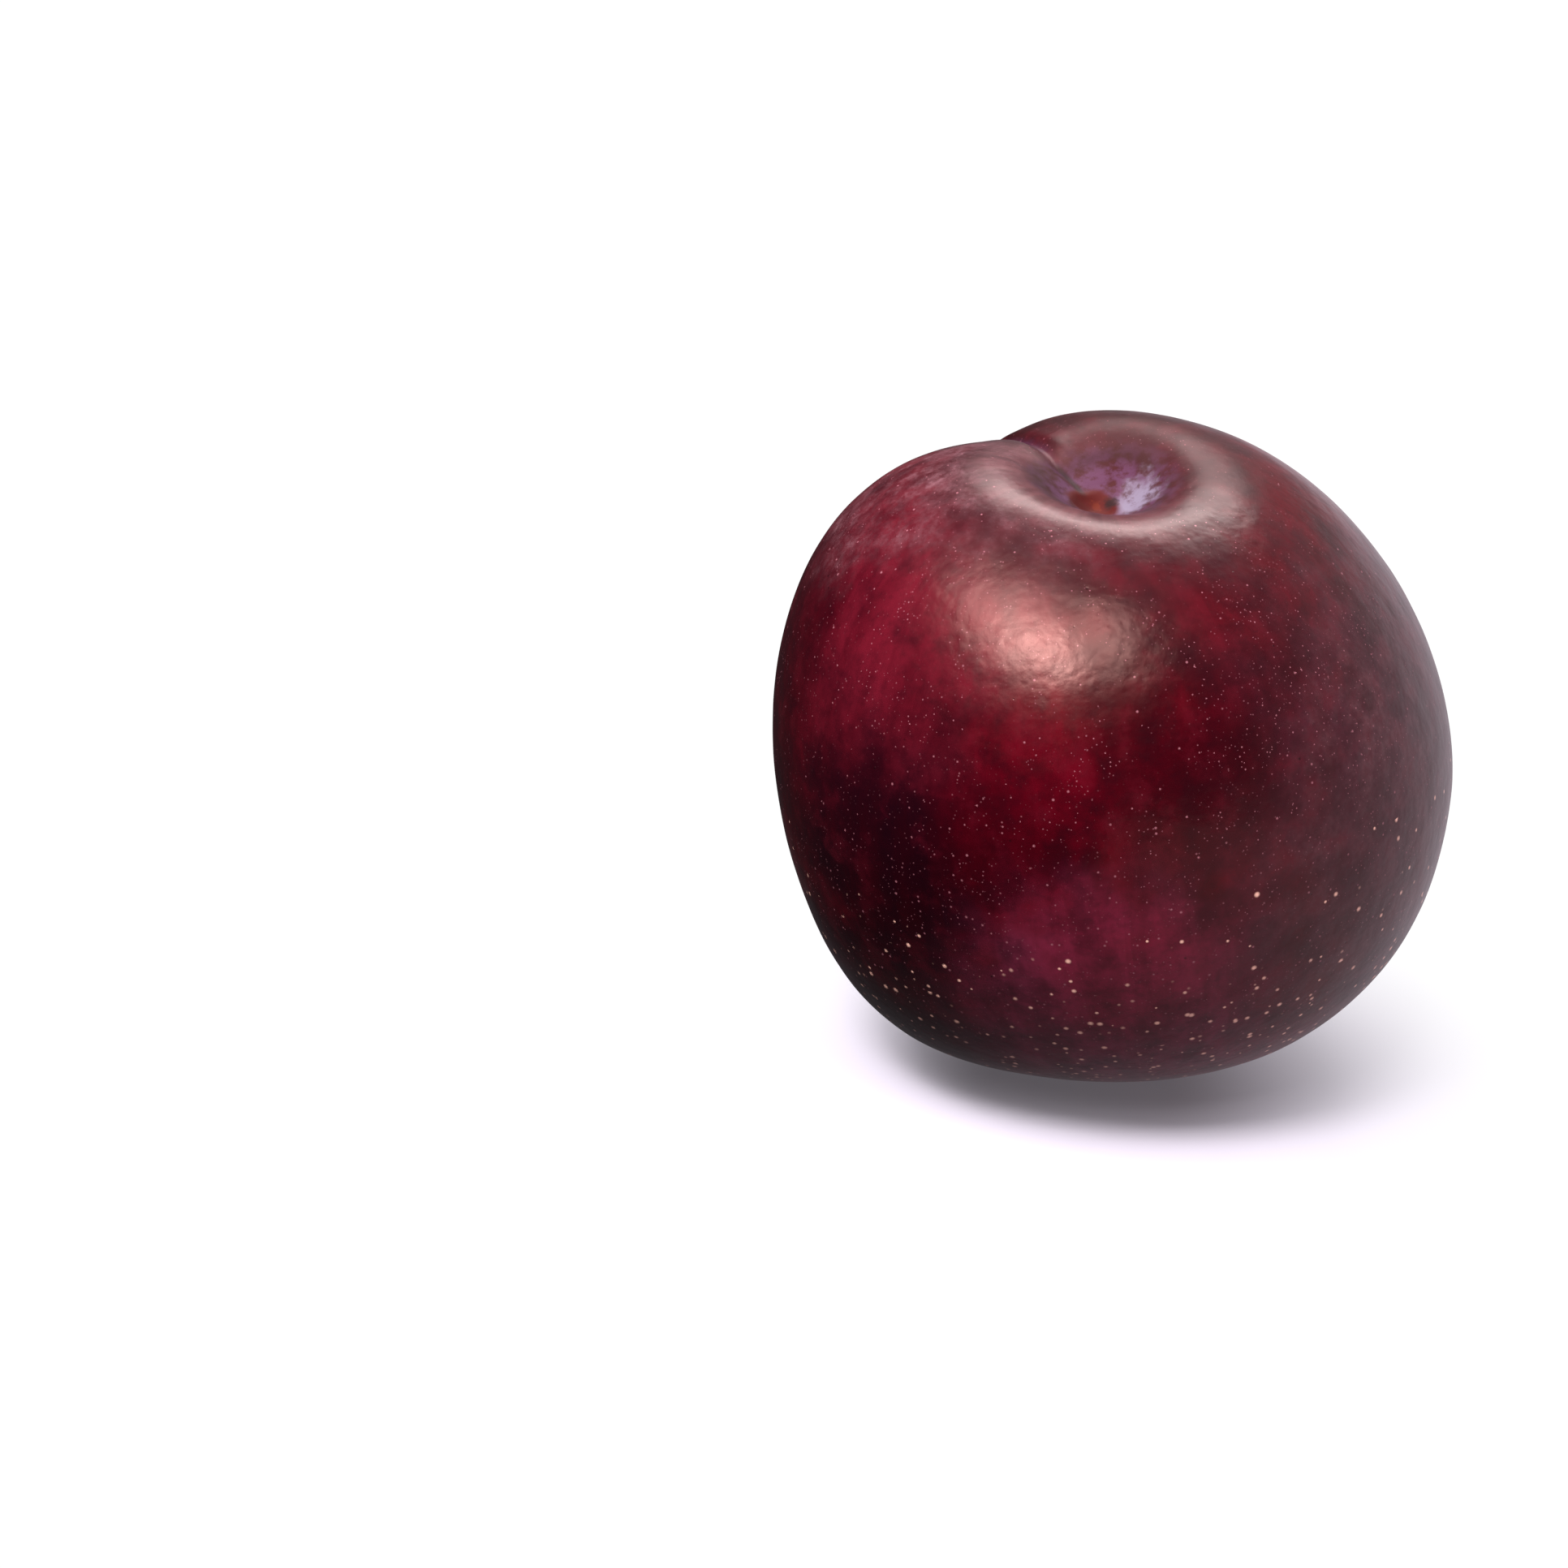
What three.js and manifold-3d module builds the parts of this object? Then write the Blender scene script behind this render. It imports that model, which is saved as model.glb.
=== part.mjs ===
// A ripe dark-skinned dessert plum, picked without its stem and resting on a table.
// It grew as one piece, so it is one solid: a slightly lopsided globe with a deep stem
// cavity on top, a suture valley running down the back left, and a small flat rest spot.
//
// Millimetres, +Z up, the front faces -Y, and the table is the plane z = 0. The fruit's own
// axis runs from its blossom end up to its stem end and leans a little in the part's frame.
// A "turn" is an angle round that axis from the front (-Y) towards +X, and a "rise" is an
// angle above the fruit's equator. Both are in degrees.

import * as THREE from "three";
import { mergeVertices } from "three/addons/utils/BufferGeometryUtils.js";
import Module from "manifold-3d";

// Driving dimensions.
const BODY_RADIUS = 31;
const BODY_HALF_HEIGHT = 30; // before the stem cavity is pressed in
const SHOULDER_FULLNESS = 0.01; // share by which the body stands out half way to each end
const LEAN_TO_FRONT = 2;
const LEAN_TO_LEFT = 6;
const REST_SPOT_RADIUS = 5.5;

// Broad swellings (height > 0) and hollows (height < 0) that make the fruit lopsided.
const SWELLINGS = [
  { name: "left shoulder", turn: -89, rise: 54, height: 2.6, spread: 32 },
  { name: "right shoulder", turn: 82, rise: 36, height: -2.0, spread: 35 },
  { name: "right hip", turn: 54, rise: -49, height: 1.2, spread: 34 },
  { name: "left hip", turn: -62, rise: -38, height: 1.9, spread: 24 },
  { name: "front of the stem", turn: 20, rise: 70, height: -1.1, spread: 20 },
  { name: "left of the suture", turn: -124, rise: 64, height: -0.65, spread: 14 },
  { name: "right of the suture", turn: -162, rise: 60, height: 0.3, spread: 8 },
];

// The stem cavity is a pit with steep walls, a little off the fruit's axis.
const STEM_CAVITY = { depth: 6.4, radius: 6.3, steepness: 2.1, middleX: 1.0, middleY: -0.4 };

// The suture is a valley between two lobes with a narrow crease along its bottom. It starts
// at a share of the body's radius from the axis, is deepest near the stem end, and keeps
// endShare of that depth at the blossom end.
const SUTURE = {
  turn: 210,
  valleyDepth: 1.8,
  valleyHalfAngle: 10,
  creaseDepth: 0.7,
  creaseHalfAngle: 2.5,
  fadeAngle: 60,
  endShare: 0.15,
  start: 0.12,
  startSoftness: 0.03,
};

// The grid of the skin: rings from end to end, and meridians all round. The crowding draws
// rings towards both ends and meridians towards the suture, where the shape is finest.
const RINGS = 52;
const MERIDIANS = 80;
const RING_CROWDING = 0.35;
const MERIDIAN_CROWDING = 0.5;

const SKIN_COLOUR = 0x4a1622;
const { degToRad } = THREE.MathUtils;

const bell = (x) => Math.exp(-x * x);

function directionOf(turn, rise) {
  const level = Math.cos(rise);
  return new THREE.Vector3(
    level * Math.sin(turn),
    -level * Math.cos(turn),
    Math.sin(rise),
  );
}

function swellingAt(direction) {
  let height = 0;
  for (const s of SWELLINGS) {
    const centre = directionOf(degToRad(s.turn), degToRad(s.rise));
    height += s.height * bell(direction.angleTo(centre) / degToRad(s.spread));
  }
  return height;
}

// How deep the suture lies below the body, along a direction from the fruit's centre.
function sutureDepthAt(direction) {
  const towards = directionOf(degToRad(SUTURE.turn), 0);
  const along = direction.x * towards.x + direction.y * towards.y;
  const across = direction.x * towards.y - direction.y * towards.x;
  const valley = bell(across / Math.sin(degToRad(SUTURE.valleyHalfAngle)));
  const crease = bell(across / Math.sin(degToRad(SUTURE.creaseHalfAngle)));
  const fromStem = Math.acos(direction.z) / degToRad(SUTURE.fadeAngle);
  const fade = SUTURE.endShare + (1 - SUTURE.endShare) * bell(fromStem);
  const onSutureSide = 1 / (1 + Math.exp((SUTURE.start - along) / SUTURE.startSoftness));
  const depth = SUTURE.valleyDepth * valley + SUTURE.creaseDepth * crease;
  return depth * fade * onSutureSide;
}

// The point of the skin that lies in a direction from the fruit's centre.
function skinPoint(direction) {
  const towardsEnds = 2 * direction.z * Math.hypot(direction.x, direction.y);
  const fullness = 1 + SHOULDER_FULLNESS * towardsEnds ** 2;
  const swelling = swellingAt(direction);
  const across = BODY_RADIUS * fullness + swelling;
  const up = BODY_HALF_HEIGHT * fullness + swelling;
  const point = direction.clone().multiply(new THREE.Vector3(across, across, up));
  const { depth, radius, steepness, middleX, middleY } = STEM_CAVITY;
  const share = Math.hypot(point.x - middleX, point.y - middleY) / radius;
  point.addScaledVector(direction, -sutureDepthAt(direction));
  if (direction.z > 0) {
    point.z -= depth * Math.exp(-(share ** steepness));
  }
  return point;
}

// The whole skin as a closed surface in the part's orientation, before it rests on anything.
function skinGeometry() {
  const geometry = new THREE.SphereGeometry(1, MERIDIANS, RINGS);
  const position = geometry.getAttribute("position");
  const uv = geometry.getAttribute("uv");
  for (let i = 0; i < position.count; i++) {
    const evenPolar = Math.PI * (1 - uv.getY(i));
    const polar = evenPolar - (RING_CROWDING / 2) * Math.sin(2 * evenPolar);
    const evenTurn = 2 * Math.PI * uv.getX(i);
    const turn = evenTurn - MERIDIAN_CROWDING * Math.sin(evenTurn) + degToRad(SUTURE.turn);
    const point = skinPoint(directionOf(turn, Math.PI / 2 - polar));
    position.setXYZ(i, point.x, point.y, point.z);
  }
  geometry.rotateY(-degToRad(LEAN_TO_LEFT));
  geometry.rotateX(degToRad(LEAN_TO_FRONT));
  return geometry;
}

const wasm = await Module();
wasm.setup();

function solidOf(geometry) {
  const bare = geometry.clone();
  bare.deleteAttribute("normal");
  bare.deleteAttribute("uv");
  const merged = mergeVertices(bare, 1e-4);
  return new wasm.Manifold(
    new wasm.Mesh({
      numProp: 3,
      vertProperties: merged.getAttribute("position").array,
      triVerts: new Uint32Array(merged.index.array),
    }),
  );
}

function geometryOf(solid) {
  const mesh = solid.getMesh();
  const geometry = new THREE.BufferGeometry();
  const position = new THREE.BufferAttribute(mesh.vertProperties, mesh.numProp);
  geometry.setAttribute("position", position);
  geometry.setIndex(new THREE.BufferAttribute(mesh.triVerts, 1));
  geometry.computeVertexNormals();
  return geometry;
}

// Cuts the flat rest spot where the skin is lowest, and stands the fruit on z = 0 with the
// middle of its outline over the origin.
function restOnTable(geometry) {
  geometry.computeBoundingBox();
  const restDepth = BODY_RADIUS - Math.sqrt(BODY_RADIUS ** 2 - REST_SPOT_RADIUS ** 2);
  const tableHeight = geometry.boundingBox.min.z + restDepth;
  const slabSize = 4 * BODY_RADIUS;
  const slab = new THREE.BoxGeometry(slabSize, slabSize, slabSize);
  slab.translate(0, 0, tableHeight - slabSize / 2);
  const rested = geometryOf(solidOf(geometry).subtract(solidOf(slab)));
  rested.computeBoundingBox();
  const middle = rested.boundingBox.getCenter(new THREE.Vector3());
  rested.translate(-middle.x, -middle.y, -rested.boundingBox.min.z);
  return rested;
}

const skin = new THREE.MeshStandardMaterial({
  color: SKIN_COLOUR,
  roughness: 0.45,
  metalness: 0,
});
const plum = new THREE.Mesh(restOnTable(skinGeometry()), skin);
plum.name = "plum";

const fruit = new THREE.Group();
fruit.add(plum);

export default fruit;
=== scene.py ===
"""The looks of a ripe dark-skinned plum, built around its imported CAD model.

Everything is in metres in the model's frame. The fruit's own shape is worked out in
millimetres in the fruit's frame, whose +Z runs from the blossom end to the stem end. A turn
is an angle round that axis from the front (-Y) towards +X, and a rise is an angle above the
fruit's equator, both in degrees.
"""

import math

import bmesh
import bpy
import numpy as np
from mathutils import Matrix, Vector, noise


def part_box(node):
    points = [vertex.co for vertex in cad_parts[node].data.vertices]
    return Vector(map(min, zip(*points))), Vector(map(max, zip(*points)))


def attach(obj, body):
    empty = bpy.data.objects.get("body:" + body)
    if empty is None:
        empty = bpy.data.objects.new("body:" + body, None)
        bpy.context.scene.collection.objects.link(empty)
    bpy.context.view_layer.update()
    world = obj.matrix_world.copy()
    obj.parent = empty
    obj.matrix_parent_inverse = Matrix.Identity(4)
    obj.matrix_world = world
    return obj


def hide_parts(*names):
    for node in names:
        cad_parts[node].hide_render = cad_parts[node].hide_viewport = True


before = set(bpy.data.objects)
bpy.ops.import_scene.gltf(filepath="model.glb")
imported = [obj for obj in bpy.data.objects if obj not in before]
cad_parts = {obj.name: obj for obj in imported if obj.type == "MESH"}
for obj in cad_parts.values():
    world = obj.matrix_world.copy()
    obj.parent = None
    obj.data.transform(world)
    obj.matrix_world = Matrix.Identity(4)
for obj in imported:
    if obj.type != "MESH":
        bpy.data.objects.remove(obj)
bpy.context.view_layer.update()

MM = 0.001
PLUM_LOW, PLUM_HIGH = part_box("plum")

# ---------------------------------------------------------------- the fruit's measures

BODY_RADIUS = 31
BODY_HALF_HEIGHT = 30
SHOULDER_FULLNESS = 0.01
LEAN_TO_FRONT = 2
LEAN_TO_LEFT = 6
REST_SPOT_RADIUS = 5.5
REST_SPOT_ROUNDING = 0.06

# Broad swellings and hollows: turn, rise, height, spread
SWELLINGS = {
    "left shoulder": (-89, 54, 2.6, 32),
    "right shoulder": (82, 36, -2.0, 35),
    "right hip": (54, -49, 1.2, 34),
    "left hip": (-62, -38, 1.9, 24),
    "front of the stem": (20, 70, -1.1, 20),
    "left of the suture": (-124, 64, -0.65, 14),
    "right of the suture": (-162, 60, 0.3, 8),
}

STEM_CAVITY_DEPTH, STEM_CAVITY_RADIUS, STEM_CAVITY_STEEPNESS = 6.4, 6.3, 2.1
STEM_CAVITY_MIDDLE = (1.0, -0.4)

# Scars: radius, height of the rim, depth of the pit
STEM_SCAR = (1.9, 0.18, 0.45)
BLOSSOM_SCAR = (1.1, 0.08, 0.35)

SUTURE_TURN = 210
VALLEY_DEPTH, VALLEY_HALF_ANGLE = 1.8, 10
CREASE_DEPTH, CREASE_HALF_ANGLE = 0.9, 1.6
SUTURE_FADE_ANGLE, SUTURE_END_SHARE = 60, 0.15
SUTURE_START, SUTURE_START_SOFTNESS = 0.12, 0.03

# The skin's slight waves: waves in a radius, height. Their noise starts at WAVES_FROM.
WAVES = [(3.2, 0.09), (8.0, 0.03), (19.0, 0.008)]
WAVES_FROM = Vector((7.1, 3.3, 5.9))

# The skin's mesh is a cube's grid blown up to a ball, crowded towards the stem end.
GRID_CUTS = 127
STEM_CROWDING = 0.45

LEAN = (
    Matrix.Rotation(math.radians(LEAN_TO_FRONT), 3, "X")
    @ Matrix.Rotation(-math.radians(LEAN_TO_LEFT), 3, "Y")
)


# ---------------------------------------------------------------- the fruit's shape


def bell(x):
    return np.exp(-x * x)


def direction_of(turn, rise):
    turn, rise = math.radians(turn), math.radians(rise)
    level = math.cos(rise)
    return np.array([level * math.sin(turn), -level * math.cos(turn), math.sin(rise)])


def ball_mesh():
    """A closed grid of quads, and a unit direction for each of its vertices."""
    mesh = bpy.data.meshes.new("plum_skin")
    bm = bmesh.new()
    bmesh.ops.create_cube(bm, size=2)
    bmesh.ops.subdivide_edges(bm, edges=bm.edges, cuts=GRID_CUTS, use_grid_fill=True)
    bm.to_mesh(mesh)
    bm.free()
    cube = np.empty(len(mesh.vertices) * 3)
    mesh.vertices.foreach_get("co", cube)
    spread = np.tan(cube.reshape(-1, 3) * math.pi / 4)
    directions = spread / np.linalg.norm(spread, axis=1, keepdims=True)
    polar = np.arccos(np.clip(directions[:, 2], -1, 1))
    crowded = polar - STEM_CROWDING * np.sin(polar)
    level = np.hypot(directions[:, 0], directions[:, 1])
    widen = np.divide(np.sin(crowded), level, out=np.zeros_like(level), where=level > 1e-9)
    directions[:, :2] *= widen[:, None]
    directions[:, 2] = np.cos(crowded)
    return mesh, directions


def swelling_at(directions):
    height = np.zeros(len(directions))
    for turn, rise, peak, spread in SWELLINGS.values():
        cosine = np.clip(directions @ direction_of(turn, rise), -1, 1)
        height += peak * bell(np.arccos(cosine) / math.radians(spread))
    return height


def suture_depth_at(directions):
    """The suture is a valley between two lobes with a narrow crease along its bottom."""
    towards = direction_of(SUTURE_TURN, 0)
    along = directions[:, 0] * towards[0] + directions[:, 1] * towards[1]
    across = directions[:, 0] * towards[1] - directions[:, 1] * towards[0]
    valley = bell(across / math.sin(math.radians(VALLEY_HALF_ANGLE)))
    crease = bell(across / math.sin(math.radians(CREASE_HALF_ANGLE)))
    from_stem = np.arccos(np.clip(directions[:, 2], -1, 1))
    fading = bell(from_stem / math.radians(SUTURE_FADE_ANGLE))
    fade = SUTURE_END_SHARE + (1 - SUTURE_END_SHARE) * fading
    on_suture_side = 1 / (1 + np.exp((SUTURE_START - along) / SUTURE_START_SOFTNESS))
    return (VALLEY_DEPTH * valley + CREASE_DEPTH * crease) * fade * on_suture_side


def unevenness_at(directions):
    """The slight waves that make a real skin's highlights wander."""
    heights = np.zeros(len(directions))
    for frequency, height in WAVES:
        places = (Vector(d) * frequency + WAVES_FROM for d in directions)
        heights += height * np.array([noise.noise(p) for p in places])
    return heights


def scar_height(x, y, radius, rim, pit):
    """A healed scar: an uneven raised rim round a shallow pit."""
    angle = np.arctan2(y, x)
    uneven = 1 + 0.1 * np.sin(2 * angle + 0.6) + 0.06 * np.sin(5 * angle + 2.1)
    share = np.hypot(x, y) / (radius * uneven)
    return rim * bell((share - 1) / 0.25) - pit * bell(share / 0.75)


def skin_points(directions):
    """The skin's points in mm in the fruit's frame, for directions from its centre."""
    towards_ends = 2 * directions[:, 2] * np.hypot(directions[:, 0], directions[:, 1])
    fullness = 1 + SHOULDER_FULLNESS * towards_ends**2
    swelling = swelling_at(directions)
    across = BODY_RADIUS * fullness + swelling
    up = BODY_HALF_HEIGHT * fullness + swelling
    points = directions * np.stack([across, across, up], axis=1)
    from_middle = points[:, :2] - np.array(STEM_CAVITY_MIDDLE)
    share = np.hypot(from_middle[:, 0], from_middle[:, 1]) / STEM_CAVITY_RADIUS
    inwards = suture_depth_at(directions) - unevenness_at(directions)
    points -= directions * inwards[:, None]
    stem_half = directions[:, 2] > 0
    x, y = points[:, 0], points[:, 1]
    cavity = STEM_CAVITY_DEPTH * np.exp(-(share**STEM_CAVITY_STEEPNESS))
    at_stem = scar_height(x, y, *STEM_SCAR) - cavity
    at_blossom = -scar_height(x, y, *BLOSSOM_SCAR)
    points[:, 2] += np.where(stem_half, at_stem, at_blossom)
    return points


def build_plum():
    """The fruit, flat where it rests, and the place of its centre in the model's frame."""
    mesh, directions = ball_mesh()
    points = skin_points(directions) @ np.array(LEAN).T
    rest_depth = BODY_RADIUS - math.sqrt(BODY_RADIUS**2 - REST_SPOT_RADIUS**2)
    table = points[:, 2].min() + rest_depth
    height = points[:, 2] - table
    soft = np.clip(height + REST_SPOT_ROUNDING, 0, 2 * REST_SPOT_ROUNDING)
    rounded = soft**2 / (4 * REST_SPOT_ROUNDING)
    points[:, 2] = np.where(height > REST_SPOT_ROUNDING, height, rounded)
    middle = (points.min(axis=0) + points.max(axis=0)) / 2
    place = Vector((PLUM_LOW + PLUM_HIGH) / 2)
    shift = np.array([place.x, place.y, PLUM_LOW.z]) - np.array([middle[0], middle[1], 0]) * MM
    mesh.vertices.foreach_set("co", (points * MM + shift).ravel())
    mesh.polygons.foreach_set("use_smooth", [True] * len(mesh.polygons))
    mesh.update()
    plum = bpy.data.objects.new("plum_fruit", mesh)
    bpy.context.scene.collection.objects.link(plum)
    body_centre = Vector(shift) - Vector((0, 0, table * MM))
    return plum, body_centre


# ---------------------------------------------------------------- node trees


class Nodes:
    """Short words for building a node tree. Any argument may be a socket or a value."""

    def __init__(self, owner):
        owner.use_nodes = True
        self.tree = owner.node_tree
        self.tree.nodes.clear()

    def put(self, socket, value):
        if isinstance(value, bpy.types.NodeSocket):
            self.tree.links.new(value, socket)
        elif value is not None:
            if socket.type == "RGBA" and len(value) == 3:
                value = (*value, 1)
            socket.default_value = value

    def add(self, kind, inputs=(), **settings):
        node = self.tree.nodes.new(kind)
        for name, value in settings.items():
            setattr(node, name, value)
        for key, value in dict(inputs).items():
            self.put(node.inputs[key], value)
        return node

    def math(self, operation, a, b=None, c=None, clamp=False):
        inputs = {i: v for i, v in enumerate((a, b, c)) if v is not None}
        return self.add("ShaderNodeMath", inputs, operation=operation, use_clamp=clamp).outputs[0]

    def add_times(self, share, strength, total):
        """total + share * strength"""
        return self.math("MULTIPLY_ADD", share, strength, total)

    def times(self, *factors):
        product = factors[0]
        for factor in factors[1:]:
            product = self.math("MULTIPLY", product, factor)
        return product

    def vector(self, operation, a, b=None):
        node = self.add("ShaderNodeVectorMath", {0: a}, operation=operation)
        self.put(node.inputs[1], b)
        scalar = operation in ("DOT_PRODUCT", "LENGTH", "DISTANCE")
        return node.outputs["Value" if scalar else "Vector"]

    def towards(self, vector, turn, rise):
        """How far a vector goes in a direction given in degrees."""
        return self.vector("DOT_PRODUCT", vector, tuple(direction_of(turn, rise)))

    def ramp(self, value, low, high, to_low=0.0, to_high=1.0):
        """Smoothly from to_low to to_high as value goes from low to high."""
        inputs = {"Value": value, 1: low, 2: high, 3: to_low, 4: to_high}
        node = self.add("ShaderNodeMapRange", inputs, interpolation_type="SMOOTHSTEP")
        return node.outputs[0]

    def mix(self, share, a, b):
        inputs = {0: share, 6: a, 7: b}
        return self.add("ShaderNodeMix", inputs, data_type="RGBA", blend_type="MIX").outputs[2]

    def mix_shaders(self, share, a, b):
        return self.add("ShaderNodeMixShader", {0: share, 1: a, 2: b}).outputs[0]

    def glow(self, colour, strength):
        inputs = {"Color": colour, "Strength": strength}
        return self.add("ShaderNodeEmission", inputs).outputs[0]

    def noise(self, place, scale, detail=2.0, roughness=0.5, distortion=0.0):
        inputs = {
            "Vector": place,
            "Scale": scale,
            "Detail": detail,
            "Roughness": roughness,
            "Distortion": distortion,
        }
        return self.add("ShaderNodeTexNoise", inputs).outputs["Fac"]

    def split(self, vector):
        return self.add("ShaderNodeSeparateXYZ", {0: vector}).outputs

    def join(self, x, y, z):
        return self.add("ShaderNodeCombineXYZ", {0: x, 1: y, 2: z}).outputs[0]

    def camera_ray(self):
        return self.add("ShaderNodeLightPath").outputs["Is Camera Ray"]


def srgb(red, green, blue):
    """A colour as seen on a screen, 0 to 255, as the linear values that shaders take."""

    def linear(level):
        share = level / 255
        return share / 12.92 if share <= 0.04045 else ((share + 0.055) / 1.055) ** 2.4

    return tuple(linear(level) for level in (red, green, blue))


# ---------------------------------------------------------------- the skin

CRIMSON = srgb(70, 0, 11)
DEEP_CRIMSON = srgb(38, 0, 5)
MAGENTA = srgb(78, 11, 24)
MAROON = srgb(44, 10, 16)
MAUVE = srgb(53, 17, 28)
PURPLE = srgb(118, 40, 66)
ROSE = srgb(112, 6, 36)
BROWN = srgb(34, 12, 14)
NEAR_BLACK = srgb(14, 1, 6)
DUST = srgb(116, 78, 86)
VIOLET_BLOOM = srgb(64, 34, 56)
LILAC = srgb(98, 88, 104)
PALE_STREAK = srgb(86, 48, 52)
LENTICEL = srgb(244, 186, 168)
SPECK = srgb(140, 86, 96)
SCAR_RED = srgb(56, 4, 4)
SCAR_ORANGE = srgb(74, 20, 8)
# Dark pores and flecks, and also the painted shade in the suture's crease.
PORE_AND_CREASE_SHADE = srgb(14, 2, 5)

# A patch on the skin is its turn, rise, inner angle and outer angle. It is whole within the
# inner angle and gone beyond the outer one.
SPECKLED_PATCH = (40, 24, 4, 26)

# Broad patches of colour: the patch, its shade, and how strong it is
COLOUR_PATCHES = {
    "left blush": (-62, 38, 8, 40, MAGENTA, 0.9),
    "left edge": (-92, 20, 10, 38, DEEP_CRIMSON, 0.9),
    # Partly purple skin and partly painted light: the lower front is painted lighter, standing in
    # for light bounced up from the floor.
    "lower front": (-5, -28, 6, 40, PURPLE, 0.7),
    "below the middle": (-1, -14, 2, 20, ROSE, 0.4),
    # Painted shade: near black on the left and lower left, for the shadow and dark reflection of
    # neighbouring fruit that the scene leaves out.
    "left painted shade": (-46, 2, 4, 30, NEAR_BLACK, 0.9),
    "lower left painted shade": (-54, -28, 6, 26, NEAR_BLACK, 0.75),
    "right side": (66, 0, 20, 62, MAUVE, 0.95),
    "front right": (34, 58, 6, 30, MAROON, 0.6),
    "right of the middle": (11, 20, 2, 22, DEEP_CRIMSON, 0.8),
    "left of the middle": (-20, 12, 2, 15, DEEP_CRIMSON, 0.6),
    "behind the stem": (-172, 66, 8, 30, BROWN, 0.9),
    "round the stem": (20, 84, 14, 38, MAROON, 0.9),
    "back blush": (150, -4, 10, 46, MAGENTA, 0.7),
    "back shade": (-140, -20, 10, 50, NEAR_BLACK, 0.5),
    # Partly purple skin and partly painted light: the blossom end is painted lighter, standing in
    # for light bounced up from the floor.
    "blossom end": (20, -80, 10, 50, PURPLE, 0.8),
}

# Where the waxy bloom is thicker: the patch, and how thick the bloom is
DUSTY_PATCHES = {
    "right side": (74, -8, 20, 58, 0.42),
    "top": (-40, 78, 8, 28, 0.34),
    "left shoulder": (-96, 58, 4, 24, 0.7),
}

# Where the skin is duller: the patch, and the roughness that it adds
DULL_PATCHES = {
    "behind the stem": (-172, 70, 6, 24, 0.16),
    "right of the stem": (110, 70, 6, 24, 0.16),
    "front right": (50, 64, 6, 24, 0.03),
}

# Marks on the floor of the stem cavity, in mm from the fruit's axis
LILAC_MARK = (4.2, 0, 0)
BRIGHT_FLECK = (0.25, 0.8, 0.0)
DARK_FLECK = (1.6, 0.9, 0.0)
PALE_LIP_TURN = -50

SKIN_IOR = 1.38
SKIN_SPECULAR_TINT = (0.9, 0.47, 0.42, 1.0)
BUMP_STRENGTH, BUMP_DISTANCE = 0.5, 0.05 * MM


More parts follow.
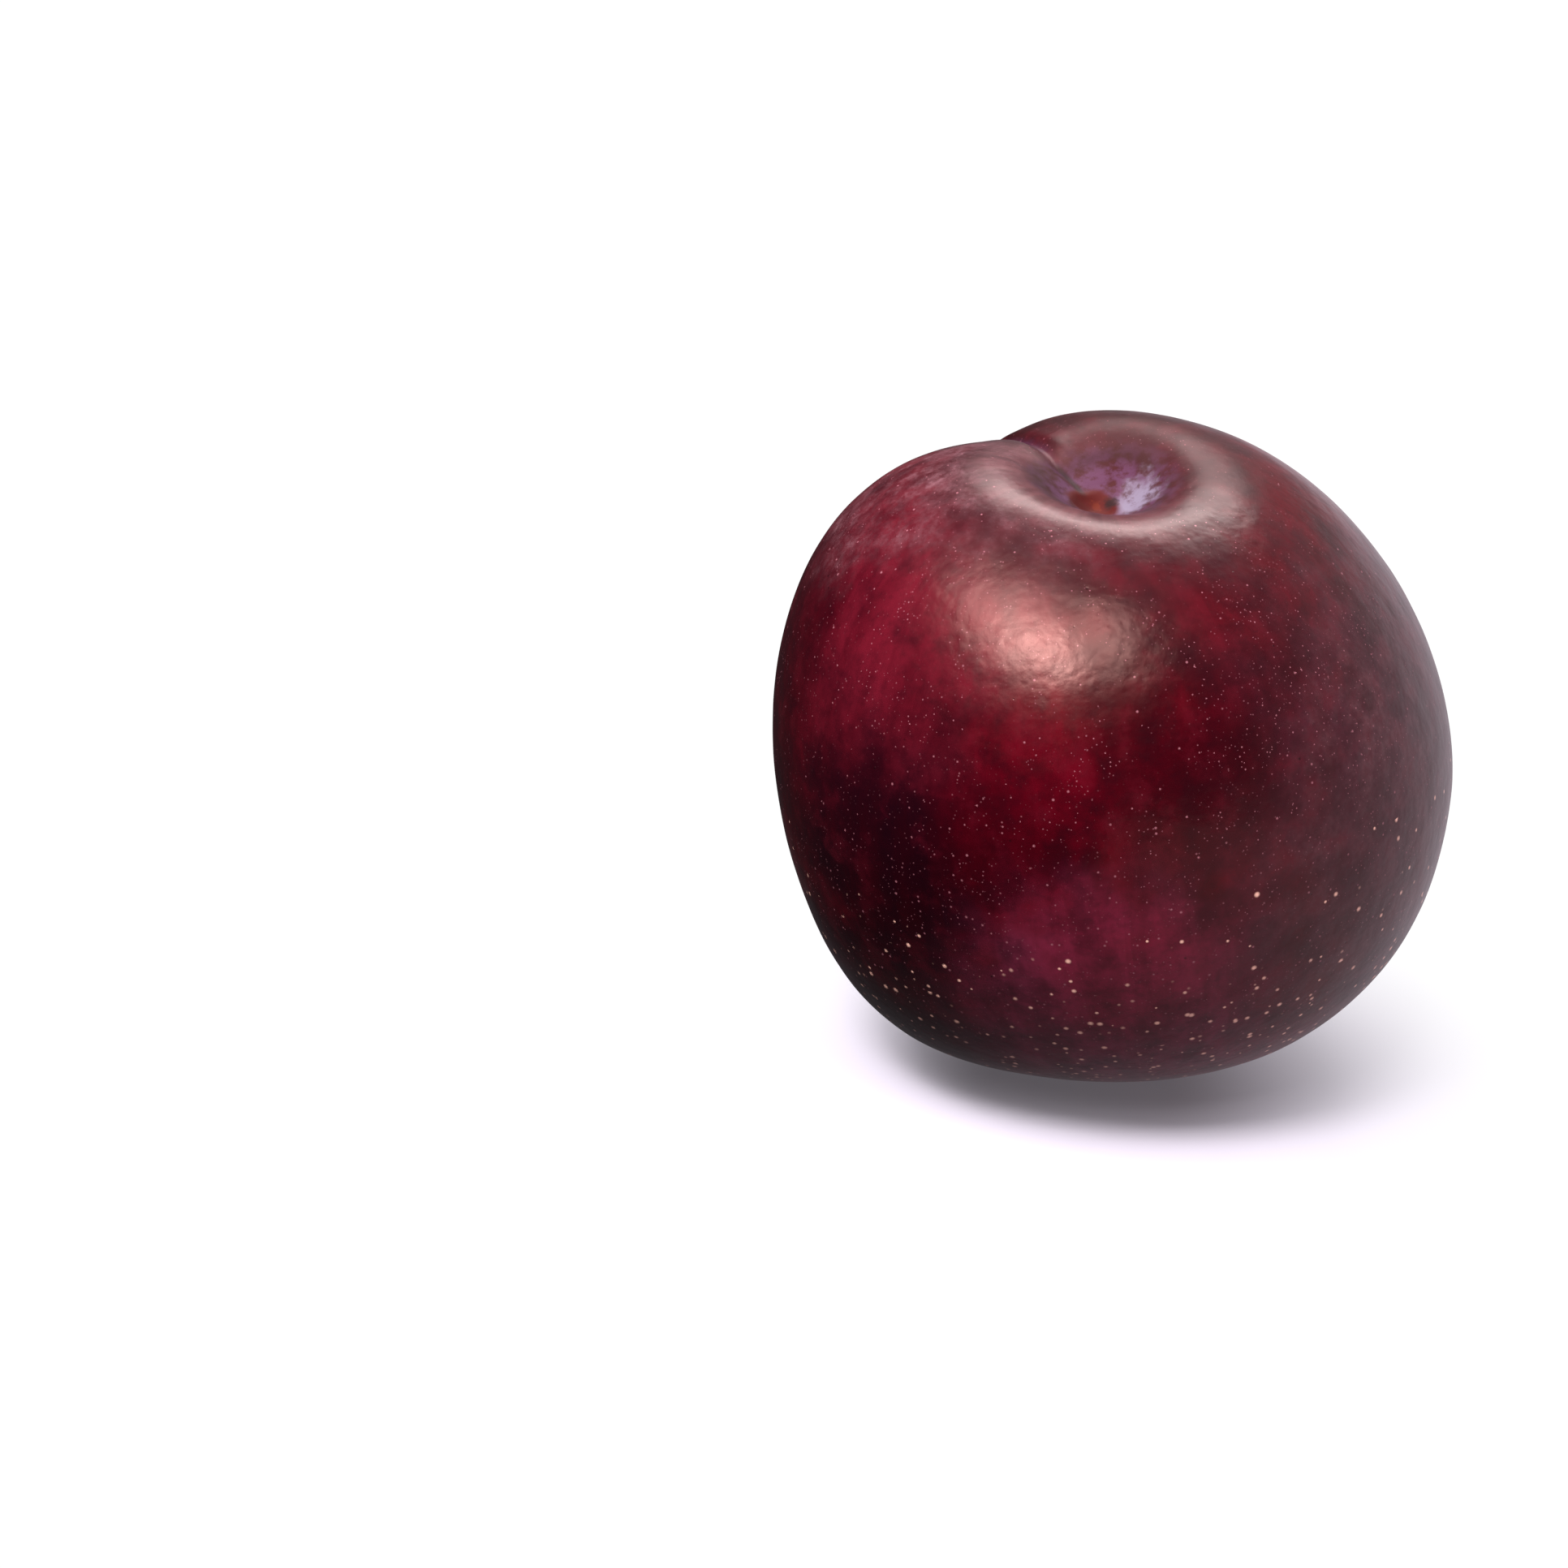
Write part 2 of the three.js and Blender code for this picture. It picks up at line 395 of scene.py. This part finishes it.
class Skin(Nodes):
    """The skin's node tree. Its colour is painted in layers, one method for each."""

    def __init__(self, material, body_centre):
        super().__init__(material)
        # The place on the fruit, in mm, in the fruit's own frame.
        coordinates = self.add("ShaderNodeTexCoord").outputs["Object"]
        mapping = self.add("ShaderNodeMapping", {"Vector": coordinates}, vector_type="TEXTURE")
        self.put(mapping.inputs["Location"], body_centre)
        self.put(mapping.inputs["Rotation"], LEAN.to_euler())
        self.put(mapping.inputs["Scale"], (MM, MM, MM))
        self.place = mapping.outputs[0]
        self.outwards = self.vector("NORMALIZE", self.place)
        self.upward = self.split(self.outwards)[2]
        self.stem_half = self.ramp(self.upward, 0.0, 0.2)
        x, y, _ = self.split(self.place)
        self.on_level = self.join(x, y, 0.0)
        self.from_middle = self.vector("DISTANCE", self.on_level, (*STEM_CAVITY_MIDDLE, 0.0))
        self.in_cavity = self.times(self.ramp(self.from_middle, 7.6, 5.4), self.stem_half)

        self.wander = self.noise(self.place, 0.2, 3, 0.5)
        self.mottle = self.noise(self.place, 0.28, 5, 0.62)
        self.flecks = self.noise(self.place, 0.9, 4, 0.6, 0.1)
        self.grain = self.noise(self.place, 2.2, 3, 0.6)
        around = self.vector("MULTIPLY", self.vector("NORMALIZE", self.on_level), (5, 5, 0))
        from_stem = self.join(0.0, 0.0, self.math("ARCCOSINE", self.upward))
        self.streaks = self.noise(self.vector("ADD", around, from_stem), 2.0, 5, 0.62, 0.4)

        self.dusty = self.dustiness()
        self.colour = None
        self.paint_ground()
        self.paint_bloom()
        self.paint_cavity()
        self.paint_scar()
        self.paint_suture()
        self.lenticels, self.pores = self.paint_dots()

    def patch(self, turn, rise, inner, outer):
        """1 within the inner angle, 0 beyond the outer one, with a wandering edge."""
        low, high = math.cos(math.radians(outer)), math.cos(math.radians(inner))
        sway = 1.2 * (high - low)
        shift = self.math("MULTIPLY_ADD", self.wander, sway, -sway / 2)
        nearness = self.towards(self.outwards, turn, rise)
        return self.ramp(self.math("ADD", nearness, shift), low, high)

    def dots(self, scale, radius, share):
        """Round dots, up to radius mm, in cells 1/scale mm wide; share of the cells have one."""
        cells = self.add("ShaderNodeTexVoronoi", {"Vector": self.place, "Scale": scale})
        red, green, _ = self.split(cells.outputs["Color"])
        size = self.math("MULTIPLY_ADD", green, 0.7 * radius * scale, 0.4 * radius * scale)
        from_centre = self.math("DIVIDE", cells.outputs["Distance"], size)
        return self.times(self.ramp(from_centre, 1.0, 0.25), self.math("LESS_THAN", red, share))

    def mark(self, middle, texture, waver):
        """The distance in mm from a mark's middle, made uneven by a noise texture."""
        distance = self.vector("DISTANCE", self.on_level, middle)
        return self.add_times(texture, waver, distance)

    def paint(self, share, shade, strength=1.0):
        if strength != 1.0:
            share = self.times(share, strength)
        self.colour = self.mix(share, self.colour, shade)

    def dustiness(self):
        """How thick the waxy bloom is: most on the right, at the top and the left shoulder."""
        dusty = 0.0
        for *where, strength in DUSTY_PATCHES.values():
            dusty = self.math("ADD", self.times(self.patch(*where), strength), dusty, clamp=True)
        return dusty

    def paint_ground(self):
        broad = self.noise(self.place, 0.07, 3, 0.6)
        self.colour = self.mix(self.ramp(broad, 0.4, 0.66), CRIMSON, DEEP_CRIMSON)
        for *where, shade, strength in COLOUR_PATCHES.values():
            self.paint(self.patch(*where), shade, strength)
        self.paint(self.ramp(self.mottle, 0.42, 0.7, 0.0, 0.45), NEAR_BLACK)
        self.paint(self.ramp(self.flecks, 0.42, 0.72, 0.0, 0.28), NEAR_BLACK)
        self.paint(self.ramp(self.mottle, 0.5, 0.3, 0.0, 0.3), MAGENTA)
        self.paint(self.ramp(self.streaks, 0.38, 0.66, 0.0, 0.35), DEEP_CRIMSON)

    def paint_bloom(self):
        """A thin dust, cloudy, wiped off in streaks and broken up by the skin's grain."""
        cloud = self.ramp(self.mottle, 0.62, 0.36, 0.3, 1.0)
        wiped = self.ramp(self.streaks, 0.3, 0.6, 0.6, 1.0)
        broken = self.ramp(self.flecks, 0.34, 0.66, 0.25, 0.75)
        grainy = self.ramp(self.grain, 0.35, 0.65, 0.6, 1.0)
        self.paint(self.times(self.dusty, broken, cloud, wiped, grainy), DUST)

    def paint_cavity(self):
        """Pale streaks over the lip, violet walls, painted shade in brown on the upper walls, and
        a lilac mark.
        """
        lip = self.times(
            self.ramp(self.from_middle, 13.0, 8.0),
            self.ramp(self.from_middle, 5.5, 7.5),
            self.stem_half,
            self.ramp(self.towards(self.on_level, PALE_LIP_TURN, 0), -2.0, 6.0),
        )
        self.paint(self.times(lip, self.ramp(self.streaks, 0.35, 0.7, 0.15, 0.8)), PALE_STREAK)
        self.paint(self.in_cavity, MAROON, 0.8)
        self.paint(self.times(self.in_cavity, self.ramp(self.flecks, 0.36, 0.6)), VIOLET_BLOOM)
        # Painted shade: brown on the cavity's upper walls, where they turn down into the hollow.
        upper_wall_shade = self.times(self.ramp(self.from_middle, 4.0, 6.2), self.stem_half)
        uneven = self.ramp(self.mottle, 0.35, 0.6, 0.4, 0.9)
        self.paint(self.times(upper_wall_shade, self.in_cavity, uneven), BROWN)
        lilac = self.ramp(self.mark(LILAC_MARK, self.mottle, -7.0), -0.2, -2.4)
        broken = self.ramp(self.flecks, 0.3, 0.55, 0.2, 1.0)
        self.paint(self.times(lilac, self.stem_half, broken), LILAC)

    def paint_scar(self):
        """The corky scar of the stem: red, with a bright fleck behind and a dark one right."""
        scar = self.add_times(self.mottle, -2.0, self.vector("LENGTH", self.on_level))
        self.paint(self.times(self.ramp(scar, 1.6, 0.9), self.stem_half), SCAR_RED)
        bright = self.ramp(self.mark(BRIGHT_FLECK, self.grain, 1.2), 1.2, 0.85)
        self.paint(self.times(bright, self.stem_half), SCAR_ORANGE)
        dark = self.ramp(self.mark(DARK_FLECK, self.grain, 1.2), 1.5, 0.8)
        self.paint(self.times(dark, self.stem_half), PORE_AND_CREASE_SHADE)

    def paint_suture(self):
        """A dark line of painted shade in the crease inside the cavity, and a thread of bloom
        outside it.
        """
        off_suture = self.math("ABSOLUTE", self.towards(self.place, SUTURE_TURN + 90, 0))
        along_suture = self.towards(self.outwards, SUTURE_TURN, 0)
        line = self.times(self.ramp(off_suture, 0.5, 0.1), self.ramp(along_suture, 0.04, 0.1))
        # Painted shade in the crease.
        self.paint(self.times(line, self.in_cavity), PORE_AND_CREASE_SHADE, 0.85)
        thread = self.times(self.ramp(off_suture, 0.9, 0.1), self.ramp(along_suture, 0.2, 0.32))
        patchy = self.ramp(self.mottle, 0.3, 0.6, 0.1, 0.5)
        self.paint(self.times(thread, patchy), VIOLET_BLOOM)

    def paint_dots(self):
        """Lenticels, most near the blossom end, and clusters of finer specks all over."""
        off_the_stem = self.math("SUBTRACT", 1.0, self.stem_half)
        outside = self.math("MAXIMUM", self.ramp(self.from_middle, 6.0, 8.0), off_the_stem)
        low_down = self.ramp(self.upward, 0.15, -0.85, 0.0, 0.8)
        lower = self.ramp(self.upward, 0.6, -0.3, 0.12, 0.5)
        cluster = self.ramp(self.noise(self.place, 0.3, 3, 0.6), 0.42, 0.62, 0.05, 1.0)
        cluster = self.add_times(self.patch(*SPECKLED_PATCH), 0.5, cluster)
        lenticels = self.times(self.dots(1.0, 0.34, low_down), outside)
        pores = self.times(self.dots(0.7, 0.2, 0.1), outside)
        self.paint(self.times(self.dots(2.6, 0.1, 0.85), outside, cluster), SPECK, 0.65)
        self.paint(self.times(self.dots(1.5, 0.16, lower), outside), SPECK, 0.7)
        self.paint(lenticels, LENTICEL, 0.9)
        self.paint(pores, PORE_AND_CREASE_SHADE, 0.7)
        return lenticels, pores

    def roughness(self):
        roughness = self.add_times(self.dusty, 0.15, self.ramp(self.flecks, 0.3, 0.7, 0.28, 0.3))
        roughness = self.add_times(self.in_cavity, 0.22, roughness)
        for *where, duller in DULL_PATCHES.values():
            roughness = self.add_times(self.patch(*where), duller, roughness)
        return roughness

    def relief(self):
        relief = self.times(self.noise(self.place, 0.4, 2, 0.5), 3.5)
        relief = self.add_times(self.noise(self.place, 1.3, 2, 0.5), 0.7, relief)
        relief = self.add_times(self.grain, 0.25, relief)
        relief = self.add_times(self.lenticels, 0.4, relief)
        return self.add_times(self.pores, -0.6, relief)


def skin_material(body_centre):
    material = bpy.data.materials.new("plum_skin")
    skin = Skin(material, body_centre)
    inputs = {"Strength": BUMP_STRENGTH, "Distance": BUMP_DISTANCE, "Height": skin.relief()}
    bump = skin.add("ShaderNodeBump", inputs)
    inputs = {
        "Base Color": skin.colour,
        "Roughness": skin.roughness(),
        "Normal": bump.outputs[0],
        "IOR": SKIN_IOR,
        "Specular Tint": SKIN_SPECULAR_TINT,
    }
    shader = skin.add("ShaderNodeBsdfPrincipled", inputs)
    skin.add("ShaderNodeOutputMaterial", {"Surface": shader.outputs[0]})
    return material


# ---------------------------------------------------------------- camera, stage and lights

CAMERA_SENSOR, CAMERA_LENS = 36, 142.5
CAMERA_RISE, CAMERA_DISTANCE = 26, 0.57
CAMERA_CLIP = (0.02, 60)
CAMERA_AIM_FROM_CENTRE = Vector((-30.3, 0, -4.2)) * MM

FLOOR_RADIUS, FLOOR_GAP = 6, 0.05 * MM
# The middle of the floor's painted shadow, a little to the front left of the fruit.
SHADOW_MIDDLE = Vector((-3, -12, 0)) * MM
PAPER = srgb(188, 180, 192)
PAINTED_SHADOW_TINT = srgb(240, 234, 246)
BOUNCE = (1.0, 0.9, 1.0)
WHITE = (1, 1, 1)
SEEN_BRIGHTNESS = 1.05
SWEEP_TURN = 105

# name: turn, rise, distance, width, height, watts, mirrored in the skin
LIGHTS = {
    "key_left_pane": (-56, 60, 0.5, 0.24, 0.25, 2.8, True),
    "key_core": (-35, 55, 0.5, 0.1, 0.11, 2.3, True),
    "key_right_pane": (0, 69, 0.5, 0.08, 0.22, 1.45, True),
    "back_softbox": (170, 47, 0.5, 0.3, 0.14, 2.2, True),
    "fill": (-35, 58, 0.8, 0.6, 0.6, 6.5, False),
}


def away(turn, rise, distance):
    """A step of that length, in a direction given in degrees."""
    return Vector(direction_of(turn, rise)) * distance


def aim(thing, target):
    thing.rotation_euler = (target - thing.location).to_track_quat("-Z", "Y").to_euler()


def aim_square(light, target):
    """Aims an area light with its edges along the room's walls, so that panes line up."""
    outwards = (light.location - target).normalized()
    sideways = Vector((0, 1, 0)).cross(outwards).normalized()
    turned = Matrix((sideways, outwards.cross(sideways), outwards)).transposed()
    light.rotation_euler = turned.to_euler()


def make_camera(body_centre):
    data = bpy.data.cameras.new("camera")
    data.sensor_width, data.lens = CAMERA_SENSOR, CAMERA_LENS
    data.clip_start, data.clip_end = CAMERA_CLIP
    camera = bpy.data.objects.new("camera", data)
    target = body_centre + CAMERA_AIM_FROM_CENTRE
    camera.location = target + away(0, CAMERA_RISE, CAMERA_DISTANCE)
    aim(camera, target)
    bpy.context.scene.collection.objects.link(camera)
    bpy.context.scene.camera = camera


def floor_material():
    """Paper that the camera sees in full light, apart from a painted shadow round the fruit:
    there its glow fades and turns violet, so that the paper's own cast shadow shows.
    """
    material = bpy.data.materials.new("floor")
    n = Nodes(material)
    place = n.add("ShaderNodeTexCoord").outputs["Object"]
    from_shadow = n.vector("DISTANCE", place, tuple(SHADOW_MIDDLE))
    paper = n.add("ShaderNodeBsdfDiffuse", {"Color": PAPER}).outputs[0]
    # Painted shadow: near the fruit the camera sees less glow, tinted violet, over the paper's
    # real cast shadow.
    tint = n.mix(n.ramp(from_shadow, 0.015, 0.05), PAINTED_SHADOW_TINT, WHITE)
    lit = n.ramp(from_shadow, 0.008, 0.044, 0.1, 1.0)
    seen = n.mix_shaders(lit, paper, n.glow(tint, SEEN_BRIGHTNESS))
    # The fruit itself is lit from below only softly, and from the right more than the left.
    from_right = n.ramp(n.split(place)[0], -0.05, 0.06, 0.03, 1.0)
    under_fruit = n.ramp(n.vector("LENGTH", place), 0.01, 0.05, 0.35, 1.0)
    bounce = n.glow(BOUNCE, n.times(from_right, under_fruit))
    n.add("ShaderNodeOutputMaterial", {"Surface": n.mix_shaders(n.camera_ray(), bounce, seen)})
    return material


def make_floor():
    mesh = bpy.data.meshes.new("floor")
    bm = bmesh.new()
    bmesh.ops.create_circle(bm, cap_ends=True, segments=64, radius=FLOOR_RADIUS)
    bm.to_mesh(mesh)
    bm.free()
    mesh.materials.append(floor_material())
    floor = bpy.data.objects.new("floor", mesh)
    floor.location.z = PLUM_LOW.z - FLOOR_GAP
    bpy.context.scene.collection.objects.link(floor)


def make_world():
    """White to the camera; to the fruit, a soft glow from the right and dark elsewhere."""
    world = bpy.data.worlds.new("studio")
    bpy.context.scene.world = world
    n = Nodes(world)
    direction = n.add("ShaderNodeTexCoord").outputs["Generated"]
    sweep = n.ramp(n.towards(direction, SWEEP_TURN, 0), 0.3, 0.97, 0.02, 0.6)
    strength = n.math("MAXIMUM", sweep, n.times(n.camera_ray(), SEEN_BRIGHTNESS))
    background = n.add("ShaderNodeBackground", {"Color": WHITE, "Strength": strength})
    n.add("ShaderNodeOutputWorld", {"Surface": background.outputs[0]})


def make_lights(target):
    for name, (turn, rise, distance, width, height, watts, mirrored) in LIGHTS.items():
        data = bpy.data.lights.new(name, "AREA")
        data.shape = "RECTANGLE"
        data.size, data.size_y = width, height
        data.energy = watts
        light = bpy.data.objects.new(name, data)
        light.location = target + away(turn, rise, distance)
        aim_square(light, target)
        light.visible_camera = False
        light.visible_glossy = mirrored
        bpy.context.scene.collection.objects.link(light)


# ---------------------------------------------------------------- the scene

plum, body_centre = build_plum()
make_camera(body_centre)
make_floor()
make_world()
make_lights(body_centre)
bpy.context.scene.view_settings.view_transform = "Standard"

plum.data.materials.append(skin_material(body_centre))
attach(plum, "root")
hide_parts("plum")
